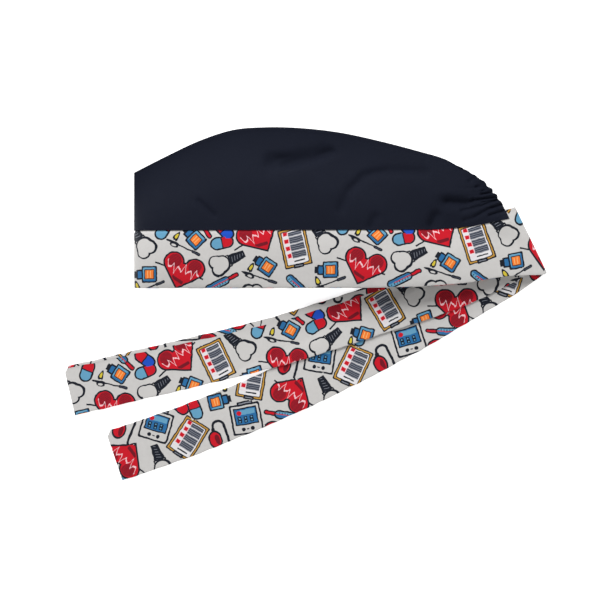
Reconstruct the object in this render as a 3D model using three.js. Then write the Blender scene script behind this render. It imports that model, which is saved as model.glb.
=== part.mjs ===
// A tie-back surgical scrub cap lying flat on its right side: a soft navy crown, a printed band round
// the rim whose two ends are turned under together, and two long ties that run back beneath the band.
// Millimetres, +Z up, resting on z = 0. The front of the cap points to -X and the crown to +Y.

import * as THREE from 'three';
import { mergeVertices } from 'three/addons/utils/BufferGeometryUtils.js';

// ---- Driving dimensions -------------------------------------------------------------------------

const CROWN_WALL = 1.0; // single cloth with its turnings
const STRIP_WALL = 1.2; // doubled cloth of the band and the ties
const CLEARANCE = 0.3; // between neighbouring pieces
const LAP_CLEARANCE = 0.5; // between the crown and the band, where one laps over the other
const LAP = CROWN_WALL + LAP_CLEARANCE; // how far the band sits inside the crown there
const LAYER = STRIP_WALL + CLEARANCE; // how far one layer of strip lifts the next

const FRONT_X = -129.4; // centre front fold
const FOLD_TOP = new THREE.Vector2(159.8, 72.8); // ends of the diagonal edge where the band turns under
const FOLD_BOTTOM = new THREE.Vector2(183.8, 23.4);
const RIDGE_HEIGHT = 4.5; // height of the top seam and of the front fold's nose

const RIM_OPENING = 11; // how far the two sides stand apart at the rim
const CROWN_BULGE = 12; // how far the crown swells above the line from rim to top seam
const NAPE_SWELL = 8.5; // how far the gathers hold the nape open
const FRONT_REACH = 24; // how far the rounding of the front fold runs back, upper side
const FRONT_TUCK = 8; // the same, lower side
const RIDGE_REACH = 50; // how far the slope of the top seam runs in, upper side
const RIDGE_TUCK = 15; // the same, lower side
const OPENING_REACH = 110; // how far from the turned-under ends the sides reach their full opening

const GATHER_FOLDS = 5; // small pleats along the nape elastic
const GATHER_HEIGHT = 1.0;
const GATHER_SCALLOP = 0.9; // how far the pleats ripple the nape edge
const GATHER_REACH = 0.12; // how far the pleats run in, as a share of the crown's length

// Sections of the crown, from the front fold to the nape edge: its lower edge, its top, and how far
// the section bows towards the back.
const CROWN_SECTIONS = [
  { edgeX: -129.4, edgeY: 54.9, topX: -129.4, topY: 99.0, bow: 0 },
  { edgeX: -104.0, edgeY: 54.9, topX: -104.0, topY: 111.9, bow: 0 },
  { edgeX: -79.6, edgeY: 54.9, topX: -79.6, topY: 123.3, bow: 0 },
  { edgeX: -54.0, edgeY: 55.0, topX: -54.0, topY: 131.5, bow: 0 },
  { edgeX: -28.0, edgeY: 55.0, topX: -28.0, topY: 133.5, bow: 0 },
  { edgeX: 2.0, edgeY: 55.1, topX: -1.0, topY: 132.7, bow: 0 },
  { edgeX: 34.0, edgeY: 55.2, topX: 28.0, topY: 129.2, bow: 0 },
  { edgeX: 70.0, edgeY: 55.4, topX: 60.0, topY: 122.2, bow: 0 },
  { edgeX: 104.0, edgeY: 56.2, topX: 88.0, topY: 114.8, bow: 1 },
  { edgeX: 128.0, edgeY: 58.6, topX: 106.0, topY: 109.4, bow: 3 },
  { edgeX: 154.9, edgeY: 64.2, topX: 118.5, topY: 102.6, bow: 5 },
];

// Sections of the band, from the front fold to the turned-under end: the rim and the hidden top edge.
const BAND_SECTIONS = [
  { rimX: -129.4, rimY: 11.9, topX: -129.4, topY: 62.5 },
  { rimX: -100.0, rimY: 11.9, topX: -100.0, topY: 62.5 },
  { rimX: -50.0, rimY: 11.9, topX: -50.0, topY: 62.6 },
  { rimX: 0.0, rimY: 12.0, topX: 0.0, topY: 62.9 },
  { rimX: 50.0, rimY: 12.2, topX: 48.0, topY: 63.1 },
  { rimX: 90.0, rimY: 13.2, topX: 84.0, topY: 64.0 },
  { rimX: 122.0, rimY: 15.9, topX: 112.0, topY: 65.8 },
  { rimX: 152.0, rimY: 20.7, topX: 137.0, topY: 68.4 },
  { rimX: 181.2, rimY: 22.2, topX: 157.2, topY: 71.6 },
];

// Centre lines of the ties, from the turned-under end to the free end. The first row's section lies
// along the fold, and the others lie square to the tie.
const TIE_LEFT_PATH = [
  { x: 172.6, y: 39.0, width: 38.0 },
  { x: 147.6, y: 21.9, width: 38.0 },
  { x: 130.6, y: 12.0, width: 38.0 },
  { x: 90.8, y: -11.7, width: 38.0 },
  { x: 44.4, y: -37.2, width: 37.8 },
  { x: 1.0, y: -58.8, width: 37.6 },
  { x: -43.2, y: -78.4, width: 37.6 },
  { x: -96.1, y: -99.4, width: 38.0 },
  { x: -144.8, y: -115.9, width: 38.6 },
];
const TIE_RIGHT_PATH = [
  { x: 170.1, y: 43.9, width: 37.4 },
  { x: 134.6, y: 25.0, width: 37.2 },
  { x: 104.0, y: 11.6, width: 37.0 },
  { x: 62.7, y: -2.2, width: 36.8 },
  { x: 20.0, y: -16.4, width: 36.6 },
  { x: -22.6, y: -29.4, width: 36.4 },
  { x: -71.0, y: -41.5, width: 36.4 },
  { x: -125.0, y: -54.2, width: 36.6 },
  { x: -178.7, y: -66.8, width: 36.8 },
];

// Dents in the upper side of the crown: a line along each, its half width and its depth.
const DENTS = [
  { fromX: -25, fromY: 105.8, toX: 14, toY: 115.7, halfWidth: 5.0, depth: 1.8 },
  { fromX: 27, fromY: 73.0, toX: 34, toY: 86.0, halfWidth: 4.5, depth: 1.0 },
  { fromX: 34, fromY: 86.0, toX: 51, toY: 98.2, halfWidth: 4.5, depth: 1.2 },
  { fromX: 51, fromY: 98.2, toX: 88, toY: 100.5, halfWidth: 4.5, depth: 1.0 },
  { fromX: 105, fromY: 76.2, toX: 126, toY: 74.4, halfWidth: 5.0, depth: 2.2 },
  { fromX: -82, fromY: 77.7, toX: -70, toY: 68.0, halfWidth: 3.5, depth: 0.6 },
];

const COLOURS = { navy: 0x131c2e, print: 0xcfccca };

// ---- Small mathematics --------------------------------------------------------------------------

const clamp01 = (value) => Math.min(1, Math.max(0, value));
const mix = (from, to, share) => from + (to - from) * share;

function ease(value, from, to) {
  const share = clamp01((value - from) / (to - from));
  return share * share * (3 - 2 * share);
}

// A quarter ellipse, for cloth that turns round a fold.
const roundOff = (distance, reach) => Math.sqrt(1 - (1 - clamp01(distance / reach)) ** 2);

// A parabola, for cloth that slopes down to a seam.
const slopeOff = (distance, reach) => 1 - (1 - clamp01(distance / reach)) ** 2;

// A smooth curve through two columns of a table, with its parameter from 0 to 1.
function tableCurve(rows, xColumn, yColumn) {
  const points = rows.map((row) => new THREE.Vector3(row[xColumn], row[yColumn], 0));
  return new THREE.CatmullRomCurve3(points, false, 'centripetal');
}

// A column of a table read off at a place between 0 and 1.
function tableValue(rows, column, place) {
  const at = clamp01(place) * (rows.length - 1);
  const row = Math.min(rows.length - 2, Math.floor(at));
  return mix(rows[row][column], rows[row + 1][column], at - row);
}

function segmentDistance(x, y, from, to) {
  const alongX = to.x - from.x;
  const alongY = to.y - from.y;
  const share = ((x - from.x) * alongX + (y - from.y) * alongY) / (alongX ** 2 + alongY ** 2);
  const held = clamp01(share);
  return Math.hypot(x - from.x - alongX * held, y - from.y - alongY * held);
}

// ---- Plan of the cap ----------------------------------------------------------------------------

const foldAlong = FOLD_BOTTOM.clone().sub(FOLD_TOP).normalize();
const foldOut = new THREE.Vector2(-foldAlong.y, foldAlong.x);
const BEND_RADIUS = (4 * STRIP_WALL + 3 * CLEARANCE) / 2; // outermost layer of the turned-under stack

// Distance in from the axis of the turned-under end.
const fromBend = (x, y) =>
  (FOLD_TOP.x - x) * foldOut.x + (FOLD_TOP.y - y) * foldOut.y - BEND_RADIUS;

const crownEdge = tableCurve(CROWN_SECTIONS, 'edgeX', 'edgeY');
const crownTop = tableCurve(CROWN_SECTIONS, 'topX', 'topY');
const bandRim = tableCurve(BAND_SECTIONS, 'rimX', 'rimY');
const bandTop = tableCurve(BAND_SECTIONS, 'topX', 'topY');

// The y of a curve at a given x, carried on along its last slope beyond its end.
function heightOfCurve(curve) {
  const points = curve.getPoints(120);
  return (x) => {
    let index = points.findIndex((point) => point.x > x);
    if (index < 0) {
      index = points.length - 1;
    }
    index = Math.max(1, index);
    const before = points[index - 1];
    const after = points[index];
    return before.y + ((x - before.x) * (after.y - before.y)) / (after.x - before.x);
  };
}
const topSeamY = heightOfCurve(crownTop);
const rimY = heightOfCurve(bandRim);
const crownEdgeY = heightOfCurve(crownEdge);

// ---- Ties in plan -------------------------------------------------------------------------------

function makeTiePlan(rows) {
  const curve = tableCurve(rows, 'x', 'y');
  const samples = curve.getSpacedPoints(60);
  return { rows, curve, samples };
}
const tieLeftPlan = makeTiePlan(TIE_LEFT_PATH);
const tieRightPlan = makeTiePlan(TIE_RIGHT_PATH);

// 1 on the tie and just past its edge, falling to 0 where the cloth laid over it comes down.
function coverage(plan, x, y, slope) {
  let nearest = Infinity;
  for (let index = 1; index < plan.samples.length; index += 1) {
    nearest = Math.min(nearest, segmentDistance(x, y, plan.samples[index - 1], plan.samples[index]));
  }
  const outside = nearest - plan.rows[0].width / 2;
  return 1 - ease(outside, slope.from, slope.to);
}
const TIE_SLOPE = { from: 2, to: 11 }; // a tie over a tie
const SIDE_SLOPE = { from: 4, to: 26 }; // the stiffer lower side of the cap over the ties

const bendCoverage = (x, y) => 1 - ease(fromBend(x, y), 2, 16);

// Height of the underside of the right tie, which lies over the left tie.
const tieRightBase = (x, y) =>
  LAYER * Math.max(coverage(tieLeftPlan, x, y, TIE_SLOPE), bendCoverage(x, y));

// Height of what lies under the lower side of the cap.
function lift(x, y) {
  const ties =
    coverage(tieLeftPlan, x, y, SIDE_SLOPE) + coverage(tieRightPlan, x, y, SIDE_SLOPE);
  return LAYER * Math.max(ties, 2 * bendCoverage(x, y));
}

// ---- The cap's outer faces as heights over the plan ---------------------------------------------

const ridgeShare = (x, y) => ease(fromBend(x, y), 6, 20);

function dentDepth(x, y) {
  return DENTS.reduce((sum, dent) => {
    const from = { x: dent.fromX, y: dent.fromY };
    const to = { x: dent.toX, y: dent.toY };
    const away = segmentDistance(x, y, from, to) / dent.halfWidth;
    return sum + dent.depth * Math.exp(-away * away);
  }, 0);
}

function upperHeight(x, y) {
  const across = clamp01((y - rimY(x)) / (topSeamY(x) - rimY(x)));
  const swell = RIM_OPENING * (1 - across) + CROWN_BULGE * Math.sin(Math.PI * across ** 0.85);
  const back = fromBend(x, y);
  const nape = NAPE_SWELL * ease(back, 2, 18) * (1 - ease(back, 30, 95)) * ease(across, 0.4, 0.75);
  const stack = 2 * STRIP_WALL + CLEARANCE + 2 * LAP * ease(back, 0.5, 5);
  const open = lift(x, y) + stack + nape + swell * ease(back, 2, OPENING_REACH);
  const ridge = slopeOff(topSeamY(x) - y, RIDGE_REACH);
  const sloped = RIDGE_HEIGHT + (open - RIDGE_HEIGHT) * mix(1, ridge, ridgeShare(x, y));
  const rounded = RIDGE_HEIGHT + (sloped - RIDGE_HEIGHT) * roundOff(x - FRONT_X, FRONT_REACH);
  const dented = dentDepth(x, y) * roundOff(x - FRONT_X, FRONT_REACH) * ridge;
  return rounded - dented;
}

function lowerHeight(x, y) {
  const ridge = mix(1, slopeOff(topSeamY(x) - y, RIDGE_TUCK), ridgeShare(x, y));
  const base = lift(x, y);
  const sloped = RIDGE_HEIGHT + (base - RIDGE_HEIGHT) * ridge;
  return RIDGE_HEIGHT + (sloped - RIDGE_HEIGHT) * roundOff(x - FRONT_X, FRONT_TUCK);
}

// How far the band is inset, so that it passes inside the crown's lower edge.
function lapInset(x, y) {
  const under = ease(y - crownEdgeY(x), -9, -0.5);
  const lastEdge = CROWN_SECTIONS.at(-1).edgeX;
  return LAP * under * (1 - ease(x, lastEdge + 1, lastEdge + 6));
}

// ---- Building shells from grids -----------------------------------------------------------------

// Normals of a grid of points by differences of its neighbours.
function gridNormals(grid) {
  const last = grid.length - 1;
  const lastColumn = grid[0].length - 1;
  return grid.map((row, i) =>
    row.map((point, j) => {
      const along = grid[Math.min(last, i + 1)][j].clone().sub(grid[Math.max(0, i - 1)][j]);
      const across = row[Math.min(lastColumn, j + 1)].clone().sub(row[Math.max(0, j - 1)]);
      return along.cross(across).normalize();
    }),
  );
}

const inset = (point, normal, depth) => point.clone().addScaledVector(normal, -depth);

// A closed wall between two grids. Where zipped, the last column of each half meets the other half's.
function wallGeometry(outer, inner, zipped) {
  const corners = [];
  const face = (a, b, c) => corners.push(a, b, c);
  const quad = (a, b, c, d) => {
    face(a, b, c);
    face(a, c, d);
  };
  const last = outer.length - 1;
  const lastColumn = outer[0].length - 1;
  for (let i = 0; i < last; i += 1) {
    for (let j = 0; j < lastColumn; j += 1) {
      quad(outer[i][j], outer[i + 1][j], outer[i + 1][j + 1], outer[i][j + 1]);
      quad(inner[i][j], inner[i][j + 1], inner[i + 1][j + 1], inner[i + 1][j]);
    }
    quad(outer[i][0], inner[i][0], inner[i + 1][0], outer[i + 1][0]);
    if (!zipped) {
      quad(
        outer[i][lastColumn],
        outer[i + 1][lastColumn],
        inner[i + 1][lastColumn],
        inner[i][lastColumn],
      );
    }
  }
  for (let j = 0; j < lastColumn; j += 1) {
    quad(outer[0][j], outer[0][j + 1], inner[0][j + 1], inner[0][j]);
    quad(outer[last][j], inner[last][j], inner[last][j + 1], outer[last][j + 1]);
  }
  const geometry = new THREE.BufferGeometry();
  const values = corners.flatMap((corner) => corner.toArray());
  geometry.setAttribute('position', new THREE.Float32BufferAttribute(values, 3));
  return mergeVertices(geometry, 1e-4);
}

const FRONT_SHARE = 0.1; // share of the length that the close stations of the front fold take
const BACK_SHARE = 0.8; // where the close stations of the back begin

// Places from 0 at the front fold to 1 at the back, close together near both.
function stationsAlong(front, middle, back) {
  const places = [];
  for (let index = 0; index < front; index += 1) {
    places.push(FRONT_SHARE * (index / front) ** 2);
  }
  for (let index = 0; index < middle; index += 1) {
    places.push(mix(FRONT_SHARE, BACK_SHARE, index / middle));
  }
  for (let index = 0; index <= back; index += 1) {
    places.push(mix(BACK_SHARE, 1, index / back));
  }
  return places;
}

// ---- Crown --------------------------------------------------------------------------------------

function crownPlan(place, share) {
  const edge = crownEdge.getPoint(place);
  const top = crownTop.getPoint(place);
  const bow = tableValue(CROWN_SECTIONS, 'bow', place) * 4 * share * (1 - share);
  const along = top.clone().sub(edge).normalize();
  return new THREE.Vector2(
    mix(edge.x, top.x, share) + along.y * bow,
    mix(edge.y, top.y, share) - along.x * bow,
  );
}

// The pleats of the nape elastic: 0 where the crown laps over the band and at the top seam.
function pleat(place, share) {
  const near = Math.exp(-(1 - place) / GATHER_REACH);
  const window = ease(share, 0.26, 0.4) * (1 - ease(share, 0.85, 1));
  return near * window * Math.cos(2 * Math.PI * GATHER_FOLDS * share);
}

function crownPoint(place, share, isUpper) {
  const plan = crownPlan(place, share);
  const ripple = pleat(place, share);
  const x = plan.x + ripple * GATHER_SCALLOP * foldOut.x;
  const y = plan.y + ripple * GATHER_SCALLOP * foldOut.y;
  if (share === 1 || place === 0) {
    return new THREE.Vector3(x, y, RIDGE_HEIGHT);
  }
  if (isUpper) {
    return new THREE.Vector3(x, y, upperHeight(x, y) + ripple * GATHER_HEIGHT);
  }
  return new THREE.Vector3(x, y, lowerHeight(x, y) + Math.abs(ripple) * GATHER_HEIGHT);
}

function makeCrown() {
  const stations = stationsAlong(6, 12, 8);
  const columns = 20;
  const side = (isUpper) =>
    stations.map((place) =>
      Array.from({ length: columns + 1 }, (_, j) => crownPoint(place, j / columns, isUpper)),
    );
  const upper = side(true);
  const lower = side(false);
  const outer = [...lower.slice(1).reverse(), ...upper];
  const normals = gridNormals(outer);
  const last = outer.length - 1;
  const inner = outer.map((row, i) =>
    row.map((point, j) => {
      if (j < columns) {
        return inset(point, normals[i][j], CROWN_WALL);
      }
      // At the top seam the two sides' walls meet, so the inner corner backs off along the mean normal.
      const mean = normals[i][j].clone().add(normals[last - i][j]).normalize();
      const lean = Math.max(0.4, mean.dot(normals[i][j]));
      return inset(point, mean, CROWN_WALL / lean);
    }),
  );
  return wallGeometry(outer, inner, true);
}

// ---- Band ---------------------------------------------------------------------------------------

const BEND_STEPS = 6;

// The strip's outer and inner faces on one turned-under end: the fold is a half circle about an axis
// that both sides share, the upper side outside the lower.
function bendRows(columns, isUpper) {
  const outerRadius = isUpper ? BEND_RADIUS : CLEARANCE / 2;
  const innerRadius = isUpper ? BEND_RADIUS - STRIP_WALL : BEND_RADIUS - LAYER;
  const rim = bandRim.getPoint(1);
  const top = bandTop.getPoint(1);
  const rows = [];
  for (let step = 0; step <= BEND_STEPS; step += 1) {
    const turn = (Math.PI * step) / BEND_STEPS;
    const ring = (radius) =>
      Array.from({ length: columns + 1 }, (_, j) => {
        const share = j / columns;
        return new THREE.Vector3(
          mix(rim.x, top.x, share) + foldOut.x * radius * Math.sin(turn),
          mix(rim.y, top.y, share) + foldOut.y * radius * Math.sin(turn),
          BEND_RADIUS + radius * Math.cos(turn),
        );
      });
    rows.push({ outer: ring(outerRadius), inner: ring(innerRadius) });
  }
  return rows;
}

function makeBand() {
  const stations = stationsAlong(6, 14, 14);
  const columns = 6;
  const side = (isUpper) =>
    stations.map((place) => {
      const rim = bandRim.getPoint(place);
      const top = bandTop.getPoint(place);
      return Array.from({ length: columns + 1 }, (_, j) => {
        const x = mix(rim.x, top.x, j / columns);
        const y = mix(rim.y, top.y, j / columns);
        return new THREE.Vector3(x, y, isUpper ? upperHeight(x, y) : lowerHeight(x, y));
      });
    });
  const face = [...side(false).slice(1).reverse(), ...side(true)];
  const normals = gridNormals(face);
  const depths = face.map((row) => row.map((point) => lapInset(point.x, point.y)));
  const shifted = (extra) =>
    face.map((row, i) => row.map((point, j) => inset(point, normals[i][j], depths[i][j] + extra)));
  const lowerBend = bendRows(columns, false).reverse();
  const upperBend = bendRows(columns, true);
  const withBends = (sheet, key) => [
    ...lowerBend.map((row) => row[key]),
    ...sheet.slice(1, -1),
    ...upperBend.map((row) => row[key]),
  ];
  return wallGeometry(withBends(shifted(0), 'outer'), withBends(shifted(STRIP_WALL), 'inner'), false);
}

// ---- Ties ---------------------------------------------------------------------------------------

function makeTie(plan, baseHeight) {
  const steps = 44;
  const columns = 8;
  const turnShare = 0.1; // share of the length over which the section turns square to the tie
  const grid = (extra) =>
    Array.from({ length: steps + 1 }, (_, i) => {
      const place = i / steps;
      const centre = plan.curve.getPointAt(place);
      const tangent = plan.curve.getTangentAt(place);
      const square = new THREE.Vector2(-tangent.y, tangent.x);
      const across = foldAlong.clone().lerp(square, ease(place, 0, turnShare)).normalize();
      const width = tableValue(plan.rows, 'width', plan.curve.getUtoTmapping(place));
      return Array.from({ length: columns + 1 }, (__, j) => {
        const offset = (j / columns - 0.5) * width;
        const x = centre.x + across.x * offset;
        const y = centre.y + across.y * offset;
        return new THREE.Vector3(x, y, baseHeight(x, y) + extra);
      });
    });
  return wallGeometry(grid(STRIP_WALL), grid(0), false);
}

// ---- Assembly -----------------------------------------------------------------------------------

function piece(name, geometry, colour) {
  geometry.computeVertexNormals();
  const material = new THREE.MeshStandardMaterial({ color: colour, roughness: 0.9, metalness: 0 });
  const mesh = new THREE.Mesh(geometry, material);
  mesh.name = name;
  return mesh;
}

const cap = new THREE.Group();
cap.add(
  piece('crown', makeCrown(), COLOURS.navy),
  piece('band', makeBand(), COLOURS.print),
  piece('tie_left', makeTie(tieLeftPlan, () => 0), COLOURS.print),
  piece('tie_right', makeTie(tieRightPlan, tieRightBase), COLOURS.print),
);

// The origin is the middle of the outline on the surface that the cap lies on.
const box = new THREE.Box3().setFromObject(cap);
const middle = box.getCenter(new THREE.Vector3());
cap.position.set(-middle.x, -middle.y, -box.min.z);

export default cap;
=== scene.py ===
"""The looks of a tie-back surgical scrub cap that lies on its right side, with a printed band and ties.

The plan and the heights repeat the model's own tables, in millimetres, and add_piece turns them
into metres in the frame's place. The finer folds, the weave and the print are made here.
"""

import math

import bpy
import numpy as np
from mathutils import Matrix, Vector


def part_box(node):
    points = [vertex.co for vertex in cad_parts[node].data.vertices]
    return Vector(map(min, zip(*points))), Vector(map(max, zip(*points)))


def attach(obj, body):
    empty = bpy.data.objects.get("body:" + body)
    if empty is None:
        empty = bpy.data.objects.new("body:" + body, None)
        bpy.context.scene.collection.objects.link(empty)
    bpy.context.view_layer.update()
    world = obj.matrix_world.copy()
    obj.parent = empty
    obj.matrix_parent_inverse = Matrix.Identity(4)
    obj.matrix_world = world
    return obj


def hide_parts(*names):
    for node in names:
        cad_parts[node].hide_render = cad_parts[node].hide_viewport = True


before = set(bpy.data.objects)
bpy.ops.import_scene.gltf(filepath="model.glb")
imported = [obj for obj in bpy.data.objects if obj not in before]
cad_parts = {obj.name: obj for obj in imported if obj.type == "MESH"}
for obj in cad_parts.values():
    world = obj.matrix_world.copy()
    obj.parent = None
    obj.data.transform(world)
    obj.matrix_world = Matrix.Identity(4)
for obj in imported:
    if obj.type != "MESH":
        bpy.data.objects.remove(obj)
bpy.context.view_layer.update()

MM = 0.001

# ---- Sizes of the model, in millimetres ----

STRIP_LAYER_WALL = 1.2  # what a doubled strip takes up in the model
CLEARANCE = 0.3
LAP_RISE = 1.5  # what the lap of crown over band takes up in the model
LAYER = STRIP_LAYER_WALL + CLEARANCE
FRONT_X = -129.4
RIM_FRONT_Y = 11.9
# Ends of the line where the band is turned under.
FOLD_TOP = np.array([159.8, 72.8])
FOLD_BOTTOM = np.array([183.8, 23.4])
RIDGE_HEIGHT = 4.5  # of the top seam
RIM_OPENING = 11  # how far apart the two sides stand at the rim
CROWN_BULGE = 12
NAPE_SWELL = 8.5
FRONT_REACH = 24
FRONT_TUCK = 8
RIDGE_REACH = 50
RIDGE_TUCK = 15
OPENING_REACH = 110
BEND_RADIUS = (4 * STRIP_LAYER_WALL + 3 * CLEARANCE) / 2

# The cloth as it shows: thinner than the solids that stand for it.
CROWN_WALL = 0.6
STRIP_WALL = 1.0
LAP = 0.9  # how far the band's face lies under the crown's, where the crown laps over it
LAP_DIP = 0.7  # how much further in the band's top edge lies

# lower edge x, y; top seam x, y; bow of the section towards the back
CROWN_SECTIONS = [
    (-129.4, 54.9, -129.4, 99.0, 0),
    (-104.0, 54.9, -104.0, 111.9, 0),
    (-79.6, 54.9, -79.6, 123.3, 0),
    (-54.0, 55.0, -54.0, 131.5, 0),
    (-28.0, 55.0, -28.0, 133.5, 0),
    (2.0, 55.1, -1.0, 132.7, 0),
    (34.0, 55.2, 28.0, 129.2, 0),
    (70.0, 55.4, 60.0, 122.2, 0),
    (104.0, 56.2, 88.0, 114.8, 1),
    (128.0, 58.6, 106.0, 109.4, 3),
    (154.9, 64.2, 118.5, 102.6, 5),
]
# rim x, y; top edge x, y
BAND_SECTIONS = [
    (-129.4, 11.9, -129.4, 62.5),
    (-100.0, 11.9, -100.0, 62.5),
    (-50.0, 11.9, -50.0, 62.6),
    (0.0, 12.0, 0.0, 62.9),
    (50.0, 12.2, 48.0, 63.1),
    (90.0, 13.2, 84.0, 64.0),
    (122.0, 15.9, 112.0, 65.8),
    (152.0, 20.7, 137.0, 68.4),
    (181.2, 22.2, 157.2, 71.6),
]
# centre x, y; width
TIE_LEFT_PATH = [
    (172.6, 39.0, 38.0),
    (147.6, 21.9, 38.0),
    (130.6, 12.0, 38.0),
    (90.8, -11.7, 38.0),
    (44.4, -37.2, 37.8),
    (1.0, -58.8, 37.6),
    (-43.2, -78.4, 37.6),
    (-96.1, -99.4, 38.0),
    (-144.8, -115.9, 38.6),
]
TIE_RIGHT_PATH = [
    (170.1, 43.9, 37.4),
    (134.6, 25.0, 37.2),
    (104.0, 11.6, 37.0),
    (62.7, -2.2, 36.8),
    (20.0, -16.4, 36.6),
    (-22.6, -29.4, 36.4),
    (-71.0, -41.5, 36.4),
    (-125.0, -54.2, 36.6),
    (-178.7, -66.8, 36.8),
]

CREASE_DEPTH = 2.3  # times the depths in the table of creases
# Dents and creases in the upper side of the crown: from x, y; to x, y; half width; depth.
DENTS = [
    (-25, 105.8, 14, 115.7, 5.4, 4.4),
    (27, 73.0, 34, 86.0, 4.5, 1.0),
    (34, 86.0, 51, 98.2, 4.5, 1.2),
    (51, 98.2, 88, 100.5, 4.5, 1.0),
    (105, 76.2, 126, 74.4, 5.0, 2.2),
    (-82, 77.7, -70, 68.0, 3.5, 0.6),
]
CREASES = [
    (-26, 111.0, -6, 107.0, 4.0, 0.5),
    (-14, 104.5, 6, 108.5, 4.0, 1.3),
    (6, 108.5, 20, 114.5, 3.6, 1.2),
    (-80, 77.0, -68, 66.0, 1.8, 0.5),
    (27, 70.0, 33, 84.0, 3.2, 0.5),
    (33, 84.0, 44, 96.5, 3.0, 0.7),
    (44, 96.5, 62, 100.5, 3.2, 0.6),
    (62, 100.5, 90, 98.5, 4.0, 0.4),
    (50, 58.5, 53, 64.5, 3.4, 0.9),
    (96, 59.5, 99, 66.0, 3.8, 1.5),
    (108, 77.2, 122, 76.2, 3.4, 1.7),
    (118, 74.8, 127.5, 77.6, 2.0, 1.5),
    (127.5, 77.6, 145.3, 80.4, 1.5, 1.2),
    (118.7, 70.1, 133.2, 73.4, 1.6, 0.8),
    (133.2, 73.4, 144.9, 78.0, 1.3, 1.0),
    (128.3, 65.3, 139.8, 71.6, 1.5, 0.9),
    (139.8, 71.6, 148.6, 74.8, 1.3, 1.0),
    (120.3, 62.6, 128.3, 64.8, 1.6, 0.6),
    (139.8, 66.5, 151.5, 70.2, 1.3, 0.9),
    (133.5, 76.2, 143.8, 78.2, 1.1, 0.7),
    (134.7, 85.3, 140.3, 87.9, 1.4, 0.9),
    (134.0, 82.4, 143.6, 84.9, 1.3, 0.9),
    (130.0, 88.0, 136.4, 91.2, 1.3, 0.7),
    (125.0, 92.6, 131.0, 96.2, 1.4, 0.7),
]

# ---- Small mathematics ----


def mix(start, end, share):
    return start + (end - start) * share


def ease(value, start, end):
    share = np.clip((value - start) / (end - start), 0, 1)
    return share * share * (3 - 2 * share)


def round_off(distance, reach):
    return np.sqrt(np.maximum(0, 1 - (1 - np.clip(distance / reach, 0, 1)) ** 2))


def slope_off(distance, reach):
    return 1 - (1 - np.clip(distance / reach, 0, 1)) ** 2


def unit(vectors):
    return vectors / np.maximum(1e-12, np.linalg.norm(vectors, axis=-1, keepdims=True))


def spline(rows, place):
    """Points at places from 0 to 1 along a centripetal Catmull-Rom curve through rows of numbers."""
    rows = np.asarray(rows, float)
    ends = np.vstack([2 * rows[0] - rows[1], rows, 2 * rows[-1] - rows[-2]])
    at = np.clip(np.asarray(place, float), 0, 1) * (len(rows) - 1)
    index = np.minimum(at.astype(int), len(rows) - 2)
    share = (at - index)[..., None]
    p0, p1, p2, p3 = (ends[index + step] for step in range(4))
    d0, d1, d2 = (
        np.sqrt(np.linalg.norm(b - a, axis=-1, keepdims=True)) for a, b in ((p0, p1), (p1, p2), (p2, p3))
    )
    leave = d1 * ((p1 - p0) / d0 - (p2 - p0) / (d0 + d1) + (p2 - p1) / d1)
    arrive = d1 * ((p2 - p1) / d1 - (p3 - p1) / (d1 + d2) + (p3 - p2) / d2)
    square, cube = share**2, share**3
    return (
        p1 * (2 * cube - 3 * square + 1)
        + leave * (cube - 2 * square + share)
        + p2 * (3 * square - 2 * cube)
        + arrive * (cube - square)
    )


def curve_height(points, x):
    """The y of a curve at x, carried on along its last slope past its ends."""
    px, py = points[:, 0], points[:, 1]
    inside = np.interp(x, px, py)
    after = py[-1] + (x - px[-1]) * (py[-1] - py[-2]) / (px[-1] - px[-2])
    before = py[0] + (x - px[0]) * (py[1] - py[0]) / (px[1] - px[0])
    return np.where(x > px[-1], after, np.where(x < px[0], before, inside))


def bar_distance(x, y, ax, ay, start_radius, bx, by, end_radius):
    """Distance to a bar with round ends, less than 0 on it."""
    along_x, along_y = bx - ax, by - ay
    share = np.clip(((x - ax) * along_x + (y - ay) * along_y) / (along_x**2 + along_y**2), 0, 1)
    radius = mix(start_radius, end_radius, share)
    return np.hypot(x - ax - along_x * share, y - ay - along_y * share) - radius


def segment_distance(x, y, ax, ay, bx, by):
    return bar_distance(x, y, ax, ay, 0, bx, by, 0)


def soft_waves(x, y, waves):
    """A smooth unevenness between about -1 and 1: rows of wavelength, direction in degrees and phase."""
    total = 0
    for length, direction, phase in waves:
        turn = math.radians(direction)
        total = total + np.sin(2 * math.pi * (x * math.cos(turn) + y * math.sin(turn)) / length + phase)
    return total / len(waves)


# ---- Plan and heights of the cap ----

fold_along = unit(FOLD_BOTTOM - FOLD_TOP)
fold_out = np.array([-fold_along[1], fold_along[0]])
CURVE_SAMPLES = np.linspace(0, 1, 401)
TIE_SAMPLES = np.linspace(0, 1, 61)
crown_rows, band_rows = np.array(CROWN_SECTIONS, float), np.array(BAND_SECTIONS, float)
top_seam_line = spline(crown_rows[:, 2:4], CURVE_SAMPLES)
crown_edge_line = spline(crown_rows[:, :2], CURVE_SAMPLES)
rim_line = spline(band_rows[:, :2], CURVE_SAMPLES)
band_top_line = spline(band_rows[:, 2:4], CURVE_SAMPLES)


def top_seam_y(x):
    return curve_height(top_seam_line, x)


def rim_y(x):
    return curve_height(rim_line, x)


def from_bend(x, y):
    """Distance in from the axis of the turned-under end."""
    return (FOLD_TOP[0] - x) * fold_out[0] + (FOLD_TOP[1] - y) * fold_out[1] - BEND_RADIUS


# Where the cloth over a layer starts and stops coming down, in millimetres out from the layer's edge.
TIE_OVER_TIE = (2, 11)
CAP_OVER_TIE = (4, 26)
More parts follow.
